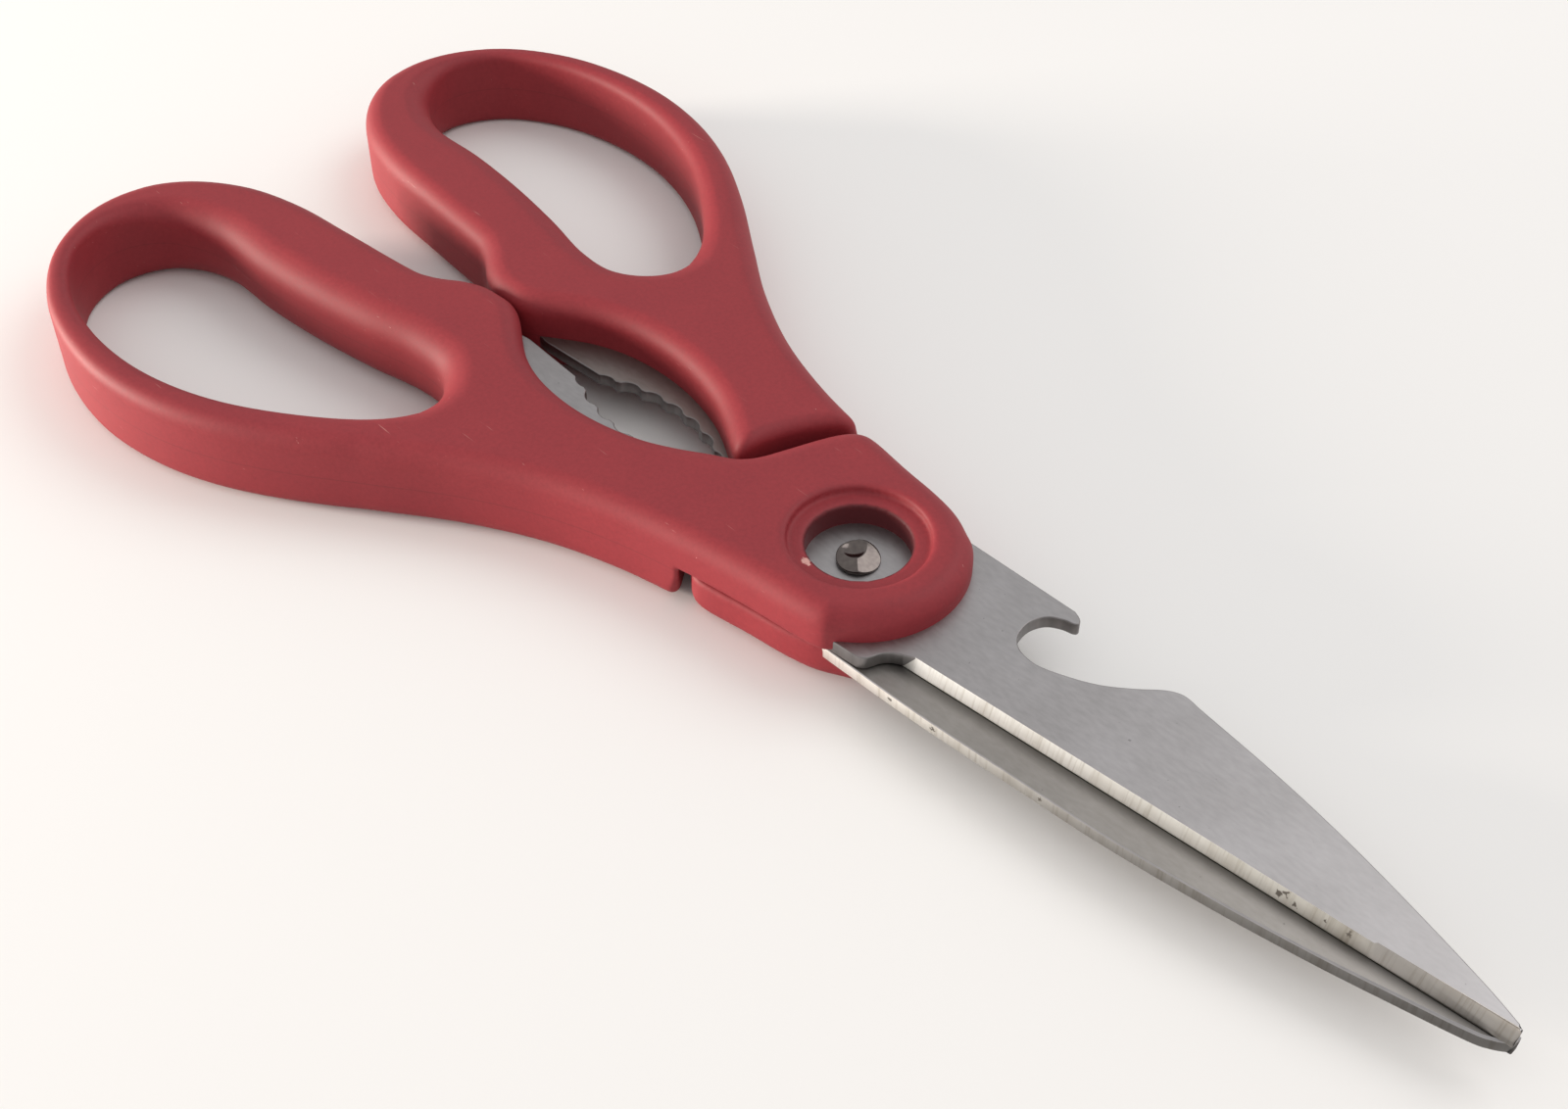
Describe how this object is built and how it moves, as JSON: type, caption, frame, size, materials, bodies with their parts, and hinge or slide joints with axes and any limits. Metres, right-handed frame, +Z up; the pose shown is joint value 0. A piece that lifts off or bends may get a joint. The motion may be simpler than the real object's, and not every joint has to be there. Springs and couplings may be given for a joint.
{
  "type": "kitchen shears",
  "caption": "Kitchen shears: two stainless blades crossing at a riveted pivot, moulded loop handles, a scalloped nutcracker jaw and a bottle-opener notch.",
  "frame": {"origin": "the middle of the underside that the shears lie on, centred on the whole length and width; the pivot axis is 16.55 mm in front of it", "axes": "+X from the handles to the blade tips, +Y towards the bottle-opener side, +Z up along the pivot axis"},
  "size_m": [0.2146, 0.0984, 0.012],
  "materials": {
    "blade_steel": "satin, faint grain",
    "handle_plastic": "soft sheen, fine moulded texture",
    "rivet_steel": "polished, staked"
  },
  "bodies": {
    "lower_half": {"lower_blade": "blade_steel", "right_handle": "handle_plastic", "pivot_rivet": "rivet_steel"},
    "upper_half": {"upper_blade": "blade_steel", "left_handle": "handle_plastic"}
  },
  "joints": [
    {"name": "pivot", "type": "hinge", "parent": "lower_half", "child": "upper_half", "pos_m": [0.01655, 0, 0.006], "axis": [0, 0, 1], "range_deg": [0, 85]}
  ]
}
